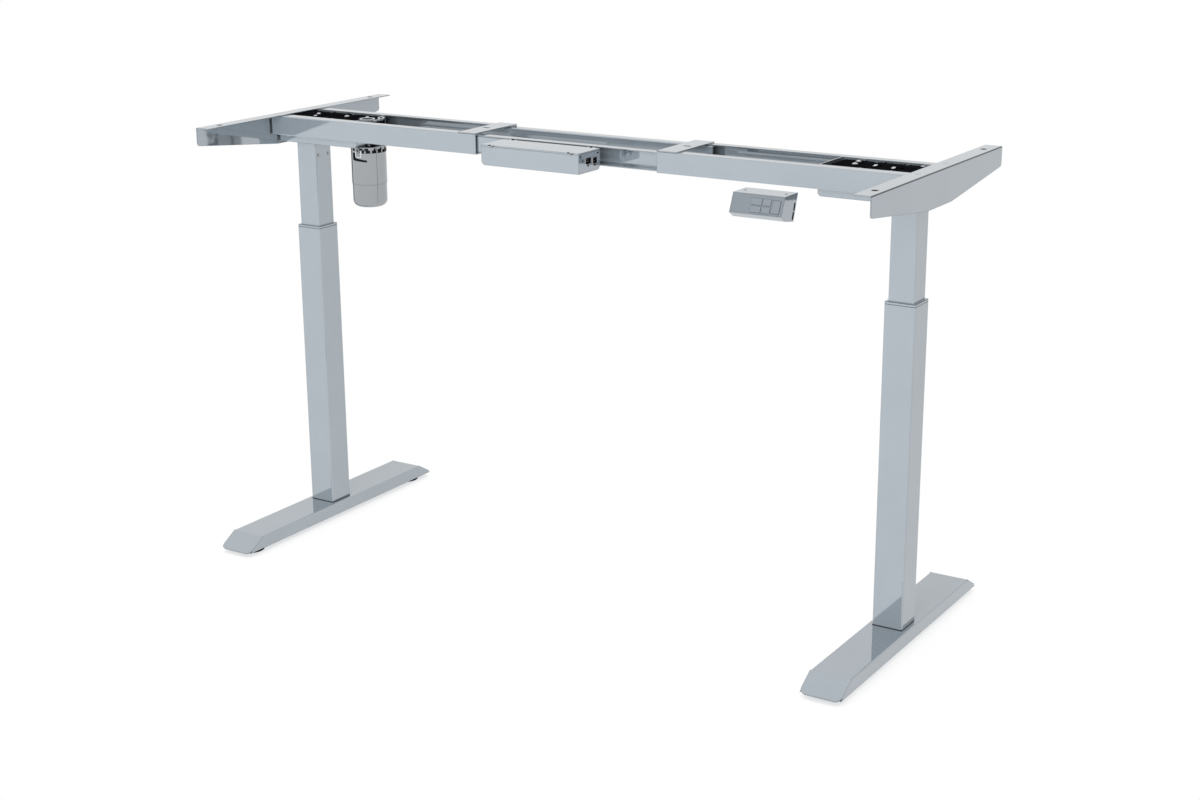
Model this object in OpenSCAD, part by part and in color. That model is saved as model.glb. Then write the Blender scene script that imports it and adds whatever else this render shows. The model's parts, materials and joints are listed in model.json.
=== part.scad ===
// Standing desk frame: two lifting columns on sheet feet, a rail frame that slides to width,
// one motor that drives both columns, a control box and a handset.
// Millimetres, +X right, +Y back, +Z up, floor at z = 0. The frame is drawn about the line between
// the columns and then moved so that the origin is the middle of the outline on the floor.

/* [Overall] */
// distance between the centre lines of the two columns
leg_spacing = 1357; // [1200:1:1700]
// height of the plane that carries the desktop
frame_h = 894; // [840:1:1000]
// height of the feet above the floor
glide_h = 10; // [8:0.5:16]

/* [Feet] */
// width of a foot
foot_w = 80; // [70:1:120]
// height of the folded foot
foot_h = 26; // [24:0.5:40]
// length of the flat top of a foot
foot_flat_l = 541; // [400:1:700]
// length of each sloping end, seen from above
foot_slope_run = 44.5; // [30:0.5:80]
// sheet thickness of a foot
foot_t = 2.5; // [1.5:0.1:4]
// outer bend radius along the top of a foot
foot_bend_r = 3; // [2.6:0.1:5]
// corner radius of the sloping tongue
foot_tip_r = 13; // [4:0.5:20]
// distance of a glide from the column centre
glide_y = 267; // [200:1:280]
// radius of a glide pad
pad_r = 30; // [15:0.5:34]
// height of a glide pad
pad_h = 6; // [4:0.5:7]
// radius of the glide stud
stud_r = 4; // [3:0.5:6]
// length of the glide stud above the pad
stud_l = 24; // [20:0.5:26]
// radius of the threaded boss in the foot
boss_r = 8; // [7:0.5:12]
// height of the threaded boss
boss_h = 12; // [8:0.5:14]
// lower face of the boss above the edge of the foot
boss_up = 4; // [2:0.5:6]
// length of the strap that carries the boss
strap_l = 34; // [24:1:40]
// free play between a moving pin and its bore
run_gap = 0.05; // [0.02:0.01:0.1]

/* [Columns] */
// outer width of the lower tube
lower_w = 60; // [56:0.5:80]
// wall of the lower tube
lower_t = 1.5; // [1:0.1:2.5]
// outer corner radius of the lower tube
lower_r = 3; // [2.6:0.1:6]
// length of the lower tube
lower_l = 613.8; // [560:0.1:640]
// dark gap between foot and lower tube
base_gap = 1.2; // [0.5:0.1:3]
// thickness of the plate at the bottom of the column
base_plate_h = 8; // [6:0.5:12]
// distance of a foot bolt from the column centre, in both directions
foot_bolt_in = 19; // [17:0.5:21]
// radius of a foot bolt
foot_bolt_r = 3; // [2.5:0.5:4]
// radius of a foot bolt head
foot_bolt_head_r = 5; // [4.5:0.5:7]
// height of a foot bolt head
foot_bolt_head_h = 6; // [4:0.5:8]
// radius of the hexagon socket in a bolt head
socket_r = 2.8; // [2:0.1:3]
// depth of the hexagon socket
socket_depth = 3; // [2:0.5:4]
// height of the collar rim
collar_h = 5; // [4:0.5:12]
// step of the edges of the collar rim
collar_step = 0.6; // [0.2:0.1:1]
// depth of the collar inside the lower tube
collar_skirt = 40; // [20:1:45]
// outer width of the upper tube
upper_w = 50; // [46:0.5:50.4]
// wall of the upper tube
upper_t = 1.5; // [1:0.1:2.5]
// outer corner radius of the upper tube
upper_r = 2.5; // [2:0.1:4]
// length of the upper tube
upper_l = 629; // [560:1:640]
// play of the sliding tube in the collar and in the lower tube
slide_gap = 0.3; // [0.1:0.05:0.6]
// height of the plastic guide at the foot of the upper tube
guide_h = 40; // [20:1:60]

/* [Spindles] */
// radius of the spindle
thread_r = 8; // [6:0.5:10]
// length of the spindle below the centre of its gear
spindle_l = 622; // [560:1:700]
// outer radius of the tube that carries the nut
nut_tube_r = 14; // [13:0.5:16]
// bore radius of the tube that carries the nut
nut_tube_bore_r = 12; // [10.5:0.5:12.5]
// top of the tube that carries the nut below the top of the lower tube
nut_drop = 51; // [46:1:90]
// radius of the nut
nut_r = 18; // [16:0.5:20]
// height of the nut
nut_h = 30; // [20:1:40]
// largest radius of a bevel gear
gear_r = 20; // [16:0.5:20]
// small end of a bevel gear as a share of its large end
gear_share = 0.55; // [0.5:0.01:0.7]
// play between two bevel gears
mesh_gap = 0.3; // [0.2:0.05:0.5]
// number of teeth of a bevel gear
gear_teeth = 16; // [10:2:24]
// width of a tooth gap
tooth_gap = 2; // [1:0.1:2.4]

/* [Heads] */
// width of the tray between the rails
tray_w = 98; // [94:0.5:102]
// reach of the tray from the column towards the middle
tray_in = 156.5; // [140:0.5:200]
// reach of the tray from the column towards the bracket
tray_out = 48.5; // [40:0.5:50]
// underside of the tray below the desktop plane
tray_drop = 58.5; // [56:0.5:64]
// sheet thickness of the tray
tray_t = 2.5; // [1.5:0.1:3]
// bevel at the lower inner corner of the tray
tray_bevel = 5; // [2:0.5:10]
// gap between gear case and tray walls
case_gap = 0.5; // [0.2:0.1:1]
// wall of the gear case
case_wall = 3; // [2:0.1:3.3]
// gear case cover below the desktop plane
case_top_drop = 6; // [5:0.5:7]
// thickness of the gear case cover
cover_t = 3; // [2:0.1:3]
// centre line of the drive shaft below the desktop plane
shaft_drop = 32; // [31.5:0.1:33]
// radius of a gear case screw
case_screw_r = 2; // [1.5:0.1:2.5]
// radius of the head of a gear case screw
case_head_r = 4; // [3:0.1:5]
// height of the head of a gear case screw
case_head_h = 1.8; // [1:0.1:2]
// radius of the head of a screw in the upper tube
tube_head_r = 3.2; // [2.4:0.1:4]
// height of the head of a screw in the upper tube
tube_head_h = 0.9; // [0.5:0.1:1.5]
// distance between the two screws in the upper tube
tube_screw_pitch = 32; // [20:1:36]
// distance of these screws below the desktop plane
tube_screw_drop = 88; // [70:1:120]
// gear case screw places, share of the case length and share of its half width
case_screw_shares = [[0.06, 0.8], [0.36, 0.8], [0.66, 0.8],
    [0.06, -0.8], [0.36, -0.8], [0.66, -0.8]];

/* [Rails] */
// width of the rail frame over the outer faces of its rails
rail_span = 143; // [140:0.5:150]
// height of an outer rail
rail_h = 40; // [38:0.5:46]
// sheet thickness of the rails
rail_t = 2; // [1.5:0.1:2.5]
// outer bend radius of the rails
rail_bend_r = 2.2; // [2:0.1:3]
// gap between the rail end and the bracket
rail_gap = 3.5; // [1:0.5:6]
// distance of the inner end of an outer rail from the middle
rail_end_x = 205; // [200:1:260]
// length of a middle rail
middle_l = 516; // [500:1:640]
// outer face of a middle rail web from the centre line
middle_web_y = 45; // [44.5:0.1:47]
// distance of the lip of a middle rail from the centre line
middle_lip_y = 66.5; // [60:0.5:69]
// play between middle rail and outer rail
middle_gap = 0.3; // [0.2:0.05:0.6]
// width of a bridge plate
bridge_w = 42; // [30:1:60]
// distance of the bridge slot from the middle
bridge_slot_x = 229; // [226:1:235]
// length of the bridge slot
bridge_slot_l = 16; // [12:0.5:20]
// radius of the bridge slot ends
bridge_slot_r = 4; // [3:0.5:6]

/* [Brackets] */
// distance of the outer face of a bracket from the column centre
bracket_out = 55; // [53:0.5:60]
// sheet thickness of a bracket
bracket_t = 2; // [1.5:0.1:2.5]
// outer bend radius of a bracket
bracket_bend_r = 2.5; // [2.2:0.1:4]
// width of the bracket flange
flange_w = 33; // [28:0.5:40]
// length of a bracket
bracket_l = 580; // [560:1:700]
// depth of a bracket at its ends
bracket_end_h = 37; // [30:0.5:44]
// depth of a bracket at the column
bracket_mid_h = 64.5; // [56:0.5:80]
// length of the deep middle part of a bracket
bracket_mid_l = 106; // [90:1:140]
// corner radius at the lower ends of a bracket
bracket_r = 7; // [3:0.5:12]
// distance of a desktop hole from the outer face of the bracket
desk_hole_in = 17; // [14:0.5:20]
// distance of a desktop hole from the centre line
desk_hole_y = 240; // [200:1:262]
// radius of a desktop hole
desk_hole_r = 5.5; // [3:0.5:6]
// radius of a bracket screw
bracket_screw_r = 2.5; // [2:0.1:3]
// radius of the head of a bracket screw
bracket_screw_head_r = 4.8; // [4:0.1:6]
// height of the sunk head of a bracket screw
bracket_screw_head_h = 1.6; // [1:0.1:1.7]
// length of a bracket screw
bracket_screw_l = 9; // [6:0.5:12]
// distance of a bracket screw from the centre line
bracket_screw_y = 61.5; // [58:0.5:64]

/* [Motor] */
// distance of the motor axis from the column centre
motor_x = 147.5; // [140:0.5:150]
// radius of the upper part of the motor
motor_r = 36.75; // [32:0.25:38]
// radius of the lower part of the motor
motor_low_r = 35.75; // [30:0.25:37]
// height of the upper part of the motor without its end cap
motor_mid_h = 66; // [50:1:80]
// height of the lower part of the motor
motor_low_h = 49; // [40:1:60]
// height of the motor end cap
motor_cap_h = 12; // [10:0.5:16]
// radius of the lower edge of the motor
motor_edge_r = 14; // [8:0.5:16]
// wall of the motor can
motor_wall = 2; // [1.5:0.1:3]
// radius of the motor shaft
motor_shaft_r = 4; // [3:0.1:5]
// radius of the rotor
rotor_r = 22; // [18:0.5:26]
// height of the rotor
rotor_h = 60; // [40:1:70]
// radius of the small bevel gear on the motor shaft
pinion_r = 10; // [8:0.5:10]
// radius of the gear case nose above the motor
nose_r = 36; // [30:0.5:38]
// radius of the ring socket on the motor
ring_r = 5; // [3:0.5:6]
// radius of the hole in the ring socket
ring_hole_r = 3; // [1.5:0.5:4]
// direction of the ring socket around the motor
ring_a = -85; // [-120:1:-60]
// length of the ring socket
ring_l = 4; // [2:0.5:6]
// number of slots around the motor end cap
cap_slots = 8; // [4:1:12]
// direction of the first slot around the motor
cap_slot_a = -60; // [-90:1:0]
// height of a slot in the motor end cap
cap_slot_h = 4; // [2:0.5:6]
// width of a slot in the motor end cap
cap_slot_w = 9; // [5:0.5:12]
// depth of a slot in the motor end cap
cap_slot_deep = 3; // [1:0.5:5]

/* [Drive shaft] */
// radius of the drive tube
tube_r = 9; // [8:0.1:9.4]
// corner radius of the hexagon drive rod
rod_r = 6; // [5:0.1:7]
// length of the solid stub of the drive tube at the gear
tube_stub = 70; // [60:1:140]
// reach of the drive rod past the middle into the tube
rod_reach = 100; // [60:1:160]

/* [Control box] */
// length of the control box
box_l = 219.6; // [180:0.2:260]
// depth of the control box
box_d = 73; // [60:0.5:80]
// height of the control box
box_h = 39; // [36:0.5:45]
// distance of the middle of the box to the left of the frame middle
box_off = 21.8; // [0:0.2:40]
// distance of the back of the box from the centre line
box_y = 82; // [80:0.5:100]
// top of the box below the desktop plane
box_drop = 4; // [0:0.5:8]
// wall of the box
box_wall = 2.5; // [2:0.1:3]
// wall of the box at its rounded edges
box_edge_wall = 4; // [3:0.1:5]
// radius of the lower edges of the box
box_edge_r = 9; // [3:0.5:10]
// thickness of the box lid
lid_t = 3; // [2:0.1:5]
// width of an ear on the lid
ear_w = 14; // [10:0.5:20]
// reach of an ear beyond the box
ear_l = 6; // [4:0.5:8]
// radius of the hole in an ear
ear_hole_r = 2; // [1.5:0.1:2.5]
// sockets of the box: share of depth and of height at their middle, width share, height share
box_socket_shares = [[0.44, 0.55, 0.26, 0.3], [0.75, 0.5, 0.2, 0.29]];
// depth of the sockets
box_socket_deep = 10; // [6:0.5:14]
// rim of a socket
socket_rim = 1.2; // [0.8:0.1:2]

/* [Handset] */
// width of the handset
hand_w = 95; // [90:0.5:120]
// right end of the handset from the frame middle
hand_right = 616; // [560:1:640]
// front of the top of the handset from the centre line
hand_y = 362; // [340:1:400]
// top of the handset below the desktop plane
hand_drop = 0.5; // [0:0.1:4]
// depth of the top of the handset
hand_top_d = 45; // [42:0.5:60]
// slope of the front face, run and drop
hand_face_run = 14; // [10:0.5:20]
// drop of the front face
hand_face_drop = 31.5; // [30:0.5:40]
// run of the bevel below the front face
hand_low_run = 14; // [8:0.5:18]
// drop of the bevel below the front face
hand_low_drop = 9; // [6:0.5:12]
// run of the back of the handset
hand_back_run = 15; // [10:0.5:20]
// drop of the back of the handset
hand_back_drop = 45.5; // [42:0.5:60]
// wall of the handset
hand_wall = 2.5; // [2:0.1:3]
// depth of the hollow in the handset
hand_hollow = 34; // [24:0.5:36]
// thickness of the front panel
panel_t = 1.6; // [1:0.1:2]
// margin of the front panel
panel_margin = 1.2; // [0.8:0.1:2]
// how far a key stands proud of the panel
key_proud = 0.7; // [0.4:0.1:1.5]
// play around a key in its window
key_gap = 0.2; // [0.1:0.05:0.4]
// width of the lip that holds a key behind the panel
key_lip = 0.5; // [0.3:0.1:0.6]
// thickness of the lip of a key
key_lip_t = 1; // [0.8:0.1:2]
// memory keys: left and right edge, upper and lower edge, shares of panel width and height
key_area_shares = [[0.38, 0.59, 0.17, 0.53], [0.61, 0.77, 0.17, 0.53],
    [0.38, 0.59, 0.59, 0.93], [0.61, 0.77, 0.59, 0.93]];
// up and down key: the same four shares
rocker_area_shares = [0.795, 0.955, 0.2, 0.9];
// width of a socket in the end of the handset
hand_socket_w = 5; // [4:0.5:7]
// height of a socket in the end of the handset
hand_socket_h = 12.5; // [8:0.5:14]
// depth of a socket in the end of the handset
hand_socket_deep = 2; // [1:0.5:2.2]
// radius of the screw holes in the top of the handset
hand_hole_r = 2.2; // [1.5:0.1:3]
// depth of the screw holes in the top of the handset
hand_hole_deep = 2.4; // [1:0.1:10]
// distance of the screw holes from the ends of the handset
hand_hole_in = 10; // [6:0.5:20]

/* [Hidden] */
$fn = 48;
over = foot_t;
arc_steps = 8;
foot_top = glide_h + foot_h;
plate_top = foot_top + base_plate_h;
lower_bot = foot_top + base_gap;
lower_top = lower_bot + lower_l;
rail_top = frame_h - bracket_t;
tray_bot = frame_h - tray_drop;
upper_bot = tray_bot - upper_l;
nut_tube_l = lower_top - nut_drop - plate_top;
mid_y = (hand_y + hand_face_run - foot_flat_l / 2 - foot_slope_run) / 2;
lower_in = lower_w - 2 * lower_t;
slope_a = atan2(foot_h, foot_slope_run);
tongue_l = sqrt(foot_h * foot_h + foot_slope_run * foot_slope_run);
shaft_z = frame_h - shaft_drop;
case_top = frame_h - case_top_drop;
case_bot = tray_bot + tray_t;
rail_lip = (rail_span - tray_w) / 2;
case_in = tray_in - tray_t - tray_bevel;
case_out = tray_out - tray_t - case_gap;
case_l = case_in + case_out;
case_half = tray_w / 2 - tray_t - case_gap;
outer_rail_l = leg_spacing / 2 - rail_end_x + bracket_out - bracket_t - rail_gap;
face_a = atan2(hand_face_run, hand_face_drop);
face_l = sqrt(hand_face_run * hand_face_run + hand_face_drop * hand_face_drop);
panel_w = hand_w - 2 * panel_margin;
panel_h = face_l - 2 * panel_margin;
box_z = frame_h - box_drop - box_h;
box_x = -box_off - box_l / 2;

steel = [0.74, 0.77, 0.80];
dark = [0.12, 0.12, 0.13];
bright = [0.85, 0.86, 0.88];

// moves the frame from the line between the columns to the middle of its outline
module placed() {
    translate([0, mid_y, 0]) children();
}

// puts a left-hand piece, drawn around its column, at the left or the right column
module at_leg(side) {
    if (side > 0)
        mirror([1, 0, 0]) translate([-leg_spacing / 2, 0, 0]) children();
    else
        translate([-leg_spacing / 2, 0, 0]) children();
}

module round_rect(w, d, r) {
    square([w - 2 * r, d], center = true);
    square([w, d - 2 * r], center = true);
    for (sx = [-1, 1], sy = [-1, 1])
        translate([sx * (w / 2 - r), sy * (d / 2 - r)]) circle(r);
}

module square_ring(h, w, r, hole_w, hole_r) {
    linear_extrude(h) difference() {
        round_rect(w, w, r);
        round_rect(hole_w, hole_w, hole_r);
    }
}

// folded channel section: web along the second axis, lips towards the first axis
module channel(depth, h, t, r) {
    difference() {
        union() {
            translate([r, 0]) square([depth - r, h]);
            translate([0, r]) square([depth, h - 2 * r]);
            translate([r, r]) circle(r);
            translate([r, h - r]) circle(r);
        }
        translate([t, t]) square([depth, h - 2 * t]);
    }
}

// section in y and z, drawn along x from x0 over a length
module along_x(x0, length) {
    translate([x0, 0, 0]) rotate([90, 0, 90]) linear_extrude(length) children();
}

// section in x and z, drawn along y, centred
module along_y(length) {
    translate([0, length / 2, 0]) rotate([90, 0, 0]) linear_extrude(length) children();
}

// bevel gear with its cone tip at the origin, body below
module bevel(r, distance) {
    difference() {
        translate([0, 0, -distance])
            cylinder(h = distance * (1 - gear_share), r1 = r - mesh_gap, r2 = r * gear_share - mesh_gap);
        for (i = [0 : gear_teeth - 1])
            rotate([0, 0, i * 360 / gear_teeth])
                translate([r * gear_share, -tooth_gap / 2, -distance - over])
                    cube([r, tooth_gap, distance]);
    }
}

module foot_end() {
    inner = foot_flat_l / 2 - foot_t * tan(slope_a / 2);
    for (s = [-1, 1])
        translate([s * (foot_w - foot_t) / 2 - foot_t / 2, 0, 0])
            along_x(0, foot_t)
                polygon([[foot_flat_l / 2 - foot_t, 0], [foot_flat_l / 2 - foot_t, foot_h - foot_t],
                    [inner, foot_h - foot_t], [inner + (foot_h - foot_t) / tan(slope_a), 0]]);
    translate([0, foot_flat_l / 2, foot_h]) rotate([-slope_a, 0, 0]) translate([0, 0, -foot_t])
        linear_extrude(foot_t) {
            translate([-foot_w / 2, 0]) square([foot_w, tongue_l - foot_tip_r]);
            translate([foot_tip_r - foot_w / 2, 0]) square([foot_w - 2 * foot_tip_r, tongue_l]);
            for (s = [-1, 1])
                translate([s * (foot_w / 2 - foot_tip_r), tongue_l - foot_tip_r]) circle(foot_tip_r);
        }
}

module foot_strap() {
    difference() {
        union() {
            translate([-(foot_w - foot_t) / 2, -strap_l / 2, boss_up + boss_h / 2])
                cube([foot_w - foot_t, strap_l, foot_t]);
            translate([0, 0, boss_up]) cylinder(h = boss_h, r = boss_r);
        }
        cylinder(h = foot_h, r = stud_r + run_gap);
    }
}

module foot() {
    color(steel) translate([0, 0, glide_h]) {
        difference() {
            union() {
                along_y(foot_flat_l) rotate(-90) translate([-foot_h, -foot_w / 2])
                    channel(foot_h, foot_w, foot_t, foot_bend_r);
                foot_end();
                rotate([0, 0, 180]) foot_end();
            }
            for (sx = [-1, 1], sy = [-1, 1])
                translate([sx * foot_bolt_in, sy * foot_bolt_in, 0])
                    cylinder(h = 2 * foot_h, r = foot_bolt_r + 4 * run_gap);
        }
        for (s = [-1, 1])
            translate([0, s * glide_y, 0]) foot_strap();
    }
}

module glide(s) {
    color(dark) translate([0, s * glide_y, 0]) {
        cylinder(h = pad_h / 3, r = pad_r - pad_h / 6);
        translate([0, 0, pad_h / 3]) cylinder(h = pad_h / 3, r = pad_r);
        translate([0, 0, pad_h * 2 / 3]) cylinder(h = pad_h / 3, r1 = pad_r, r2 = pad_r - pad_h / 3);
        translate([0, 0, pad_h]) cylinder(h = glide_h - pad_h, r = boss_r, $fn = 6);
        translate([0, 0, pad_h]) cylinder(h = stud_l, r = stud_r);
    }
}

module base_plate() {
    color(steel) translate([0, 0, foot_top]) linear_extrude(base_plate_h) difference() {
        round_rect(lower_in, lower_in, lower_r - lower_t);
        for (sx = [-1, 1], sy = [-1, 1])
            translate([sx * foot_bolt_in, sy * foot_bolt_in]) circle(foot_bolt_r + run_gap);
    }
}

module foot_bolts() {
    color(dark) for (sx = [-1, 1], sy = [-1, 1])
        translate([sx * foot_bolt_in, sy * foot_bolt_in, foot_top - foot_t]) {
            difference() {
                translate([0, 0, -foot_bolt_head_h]) cylinder(h = foot_bolt_head_h, r = foot_bolt_head_r);
                translate([0, 0, -foot_bolt_head_h - over])
                    cylinder(h = socket_depth + over, r = socket_r, $fn = 6);
            }
            cylinder(h = foot_t + base_plate_h, r = foot_bolt_r);
        }
}

module lower_tube() {
    color(steel) translate([0, 0, lower_bot])
        square_ring(lower_l, lower_w, lower_r, lower_in, lower_r - lower_t);
}

module collar() {
    hole = upper_w + 2 * slide_gap;
    hole_r = upper_r + slide_gap;
    color(steel) translate([0, 0, lower_top]) {
        translate([0, 0, -collar_skirt])
            square_ring(collar_skirt, lower_in, lower_r - lower_t, hole, hole_r);
        square_ring(collar_step, lower_w - 2 * collar_step, lower_r, hole, hole_r);
        translate([0, 0, collar_step])
            square_ring(collar_h - 2 * collar_step, lower_w, lower_r, hole, hole_r);
        translate([0, 0, collar_h - collar_step])
            square_ring(collar_step, lower_w - 2 * collar_step, lower_r, hole, hole_r);
    }
}

module nut_tube() {
    color(steel) translate([0, 0, plate_top]) difference() {
        cylinder(h = nut_tube_l, r = nut_tube_r);
        translate([0, 0, -over]) cylinder(h = nut_tube_l + 2 * over, r = nut_tube_bore_r);
    }
}

module nut() {
    color(bright) translate([0, 0, plate_top + nut_tube_l]) difference() {
        cylinder(h = nut_h, r = nut_r);
        translate([0, 0, -over]) cylinder(h = nut_h + 2 * over, r = thread_r + run_gap);
    }
}

module upper_tube() {
    color(steel) difference() {
        translate([0, 0, upper_bot])
            square_ring(upper_l, upper_w, upper_r, upper_w - 2 * upper_t, upper_r - upper_t);
        for (s = [-1, 1])
            translate([0, s * tube_screw_pitch / 2, frame_h - tube_screw_drop]) rotate([0, 90, 0])
                cylinder(h = upper_w, r = case_screw_r + run_gap);
    }
}

module tube_guide() {
    color(dark) translate([0, 0, upper_bot])
        square_ring(guide_h, lower_in - 2 * slide_gap, lower_r - lower_t, upper_w, upper_r);
}

module spindle() {
    color(bright) translate([0, 0, shaft_z]) {
        bevel(gear_r, gear_r);
        translate([0, 0, -spindle_l]) cylinder(h = spindle_l - gear_r * gear_share, r = thread_r);
    }
}

module tray_side(inset, lift) {
    polygon([[inset - tray_out, inset], [tray_in - inset - tray_bevel, inset],
        [tray_in - inset, inset + tray_bevel], [tray_in - inset, tray_drop - bracket_t + lift],
        [inset - tray_out, tray_drop - bracket_t + lift]]);
}

module tray(side) {
    color(steel) difference() {
        translate([0, 0, tray_bot]) difference() {
            along_y(tray_w) tray_side(0, 0);
            along_y(tray_w - 2 * tray_t) tray_side(tray_t, over);
        }
        translate([0, 0, tray_bot - over]) cylinder(h = 3 * over, r = nut_tube_bore_r);
        translate([tray_in, 0, shaft_z]) rotate([0, 90, 0])
            translate([0, 0, -2 * tray_t]) cylinder(h = 3 * tray_t, r = tube_r + 3 * tray_t / 2);
        if (side < 0) {
            translate([motor_x, 0, tray_bot - over]) cylinder(h = tray_drop, r = pinion_r + 2 * tray_t);
            translate([tray_in - 2 * tray_t, -nose_r - case_gap, shaft_z - pinion_r])
                cube([3 * tray_t, 2 * (nose_r + case_gap), tray_drop]);
        }
    }
}

module case_outline(inset) {
    translate([inset - case_out, inset - case_half])
        square([case_l - 2 * inset, 2 * (case_half - inset)]);
}

module case_screw_places() {
    for (p = case_screw_shares)
        translate([p[0] * case_l - case_out, p[1] * case_half, 0]) children();
}

module gear_case(side) {
    floor_z = case_bot;
    color(dark) difference() {
        union() {
            translate([0, 0, floor_z]) linear_extrude(case_top - cover_t - floor_z) case_outline(0);
            if (side < 0) {
                translate([motor_x, 0, shaft_z - pinion_r])
                    cylinder(h = case_top - cover_t - shaft_z + pinion_r, r = nose_r);
                translate([motor_x, 0, floor_z]) cylinder(h = tray_drop / 2, r = pinion_r + tray_t);
            }
        }
        difference() {
            translate([0, 0, floor_z + case_wall]) linear_extrude(tray_drop) {
                case_outline(case_wall);
            }
            case_screw_places() translate([0, 0, floor_z]) cylinder(h = tray_drop, r = case_head_r);
        }
        case_screw_places() translate([0, 0, floor_z + case_wall])
            cylinder(h = tray_drop, r = case_screw_r + run_gap);
        if (side < 0) {
            translate([motor_x, 0, shaft_z - pinion_r + case_wall])
                cylinder(h = tray_drop, r = nose_r - case_wall);
            translate([motor_x, 0, floor_z + case_wall]) cylinder(h = tray_drop, r = pinion_r + run_gap);
            translate([motor_x, 0, floor_z - over])
                cylinder(h = tray_drop, r = motor_shaft_r + run_gap);
        }
        translate([0, 0, floor_z - over]) cylinder(h = tray_drop / 2, r = thread_r + run_gap);
        translate([case_in - 2 * case_wall, 0, shaft_z]) rotate([0, 90, 0])
            cylinder(h = nose_r + 4 * case_wall, r = tube_r + run_gap);
    }
}

module gear_cover(side) {
    color(dark) translate([0, 0, case_top - cover_t]) linear_extrude(cover_t) difference() {
        union() {
            case_outline(0);
            if (side < 0) translate([motor_x, 0]) circle(nose_r);
        }
        case_screw_places() circle(case_screw_r + run_gap);
    }
}

// outer rail of one side of the frame, s = -1 front, 1 rear
module outer_rail(s) {
    color(steel) difference() {
        translate([rail_gap + bracket_t - bracket_out, 0, 0])
            translate([0, 0, rail_top - rail_h]) rail_side(s) along_x(0, outer_rail_l)
                channel(rail_lip, rail_h, rail_t, rail_bend_r);
        translate([desk_hole_in - bracket_out, s * bracket_screw_y, rail_top - rail_t - over])
            cylinder(h = rail_t + 2 * over, r = bracket_screw_r + run_gap);
    }
}

// moves a section whose web starts at zero so that the web is the outer face of that side
module rail_side(s) {
    if (s < 0)
        translate([0, -rail_span / 2, 0]) children();
    else
        mirror([0, 1, 0]) translate([0, -rail_span / 2, 0]) children();
}

module middle_rail_front() {
    h = rail_h - 2 * rail_t - 2 * middle_gap;
    translate([0, -middle_web_y, rail_top - rail_t - middle_gap - h]) mirror([0, 1, 0])
        along_x(-middle_l / 2, middle_l) channel(middle_lip_y - middle_web_y, h, rail_t, rail_bend_r);
}

module middle_rail(s) {
    color(steel) {
        if (s < 0) middle_rail_front();
        else mirror([0, 1, 0]) middle_rail_front();
    }
}

module bridge() {
    x0 = leg_spacing / 2 - rail_end_x - bridge_w;
    slot_x = leg_spacing / 2 - bridge_slot_x;
    straight = bridge_slot_l / 2 - bridge_slot_r;
    color(steel) translate([0, 0, rail_top]) linear_extrude(bracket_t) difference() {
        translate([x0, -rail_span / 2]) square([bridge_w, rail_span]);
        for (s = [-1, 1])
            translate([slot_x + s * straight, 0]) circle(bridge_slot_r);
        translate([slot_x - straight, -bridge_slot_r]) square([2 * straight, 2 * bridge_slot_r]);
    }
}

// outline of the bracket, seen from the side: y across, z up from the desktop plane
module bracket_outline() {
    e = bracket_l / 2;
    m = bracket_mid_l / 2;
    a = atan2(bracket_mid_h - bracket_end_h, e - m);
    cy = e - bracket_r;
    cz = -bracket_end_h - bracket_r * tan(a) + bracket_r / cos(a);
    half = concat([[0, 0], [e, 0]],
        [for (i = [0 : arc_steps]) [cy + bracket_r * cos(i * (90 - a) / arc_steps),
            cz - bracket_r * sin(i * (90 - a) / arc_steps)]],
        [[m, -bracket_mid_h]]);
    polygon(concat(half, [for (i = [len(half) - 1 : -1 : 1]) [-half[i][0], half[i][1]]]));
}

module bracket() {
    color(steel) difference() {
        intersection() {
            translate([-bracket_out, 0, frame_h - 2 * bracket_mid_h]) along_y(bracket_l)
                bracket_section();
            translate([0, 0, frame_h]) along_x(-bracket_out - over, flange_w + 2 * over) bracket_outline();
        }
        for (s = [-1, 1]) {
            translate([desk_hole_in - bracket_out, s * desk_hole_y, frame_h - 2 * bracket_t])
                cylinder(h = 3 * bracket_t, r = desk_hole_r);
            translate([desk_hole_in - bracket_out, s * bracket_screw_y, frame_h - 2 * bracket_t])
                cylinder(h = 3 * bracket_t, r = bracket_screw_r + run_gap);
            translate([desk_hole_in - bracket_out, s * bracket_screw_y, frame_h - bracket_screw_head_h])
                cylinder(h = bracket_screw_head_h, r1 = bracket_screw_r + run_gap,
                    r2 = bracket_screw_head_r + run_gap);
        }
    }
}

module bracket_section() {
    top = 2 * bracket_mid_h;
    difference() {
        union() {
            square([bracket_t, top - bracket_bend_r]);
            square([flange_w, top - bracket_bend_r]);
            translate([bracket_bend_r, 0]) square([flange_w - bracket_bend_r, top]);
            translate([bracket_bend_r, top - bracket_bend_r]) circle(bracket_bend_r);
        }
        translate([bracket_t, -over]) square([flange_w, top - bracket_t + over]);
    }
}

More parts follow.
